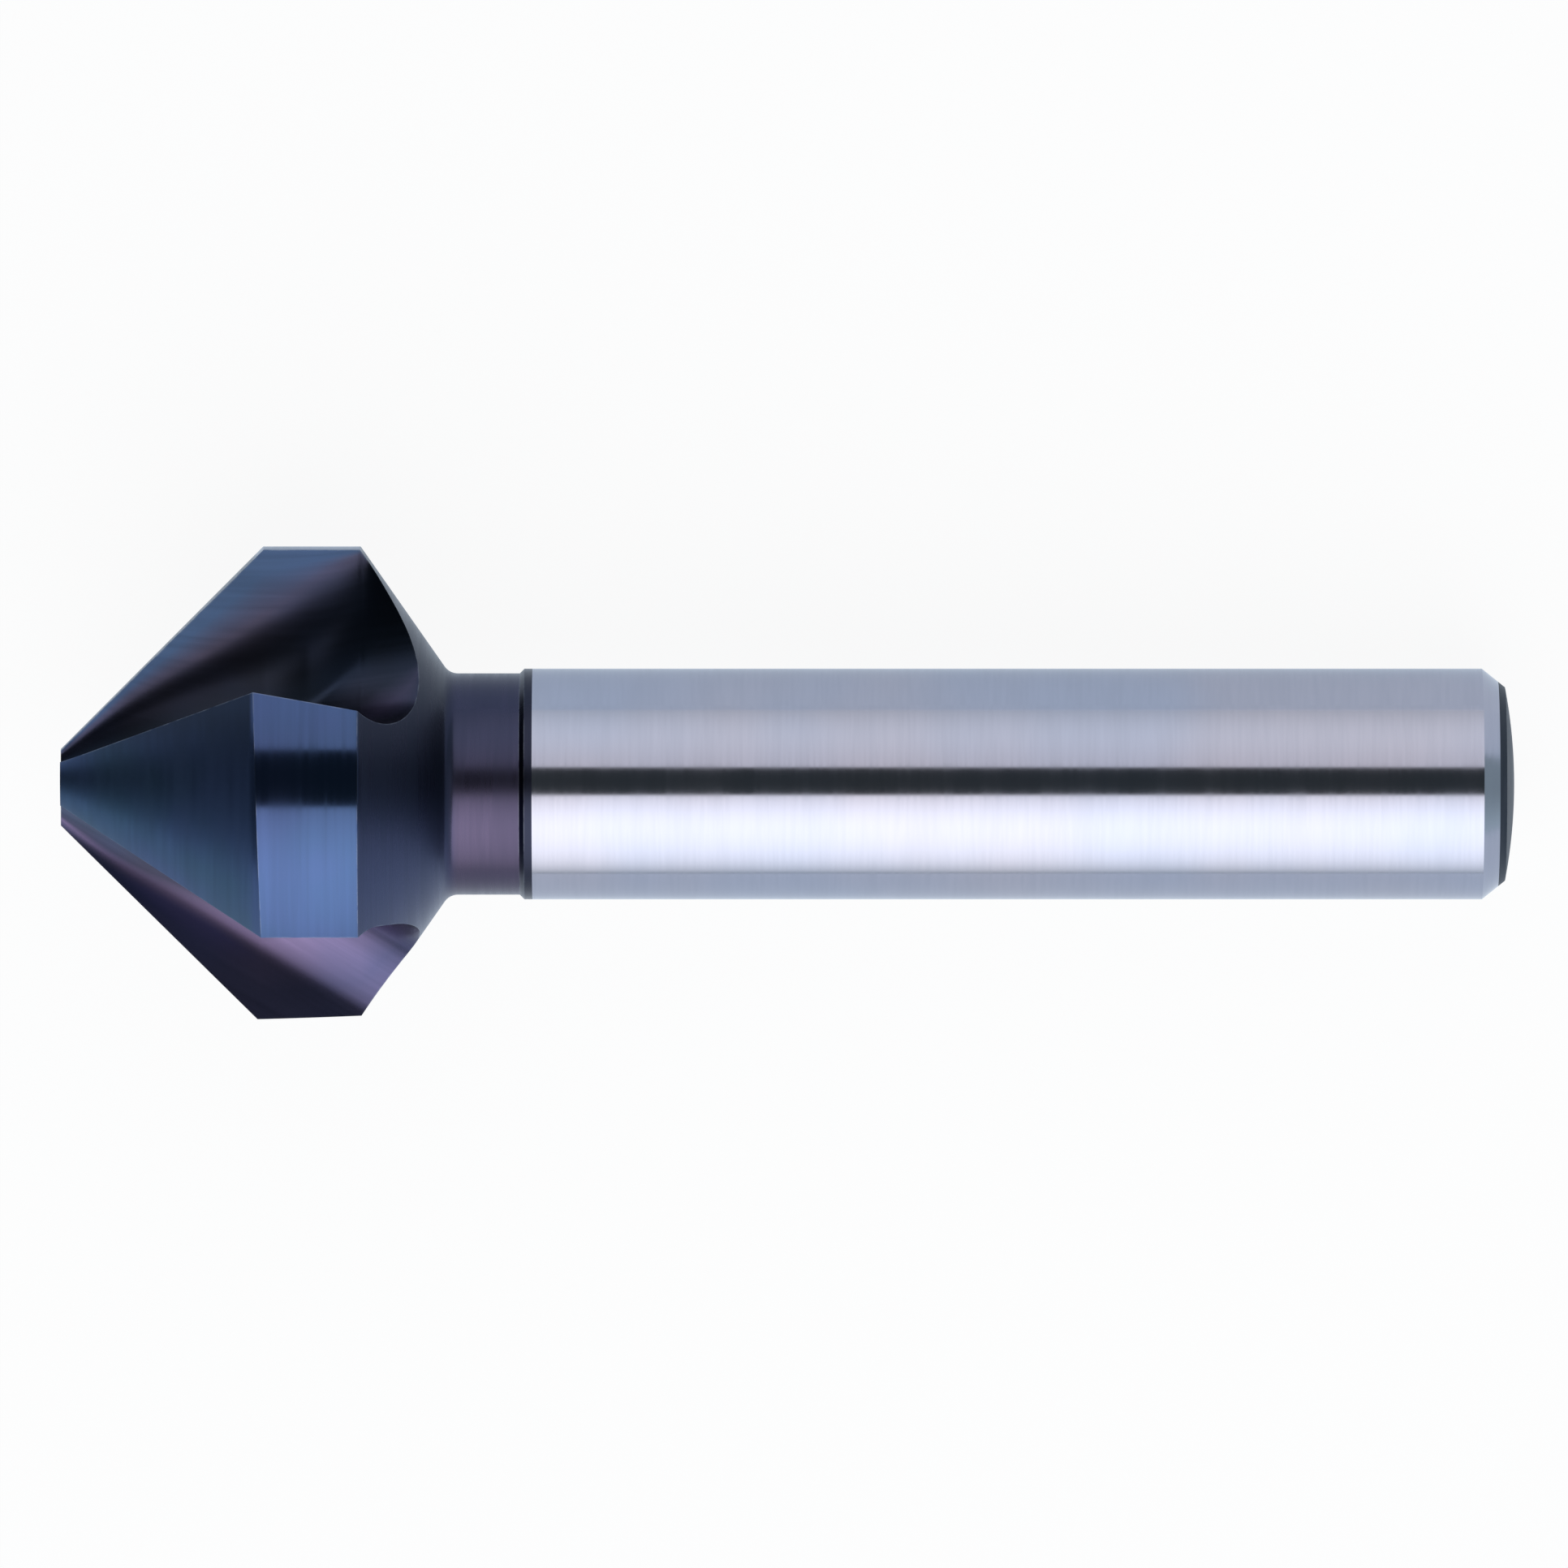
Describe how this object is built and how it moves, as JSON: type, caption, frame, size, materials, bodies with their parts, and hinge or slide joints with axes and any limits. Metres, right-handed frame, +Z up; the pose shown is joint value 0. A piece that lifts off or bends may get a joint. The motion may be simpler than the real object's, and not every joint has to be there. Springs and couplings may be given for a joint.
{
  "type": "countersink bit",
  "caption": "One-piece countersink bit: conical head with slanted gullets and relieved cutting edges, on a plain round shank.",
  "frame": {"origin": "on the surface that the bit lies on, straight below the middle of its length", "axes": "+Z up; X along the bit as seen from above, with the nose towards -X and the shank's end towards +X; Y across it"},
  "size_m": [0.063, 0.0206, 0.0194],
  "materials": {
    "steel": "ground high-speed steel: violet-blue hard coating on head and neck, bright ground shank"
  },
  "bodies": {
    "root": {"countersink_bit": "steel"}
  },
  "joints": []
}
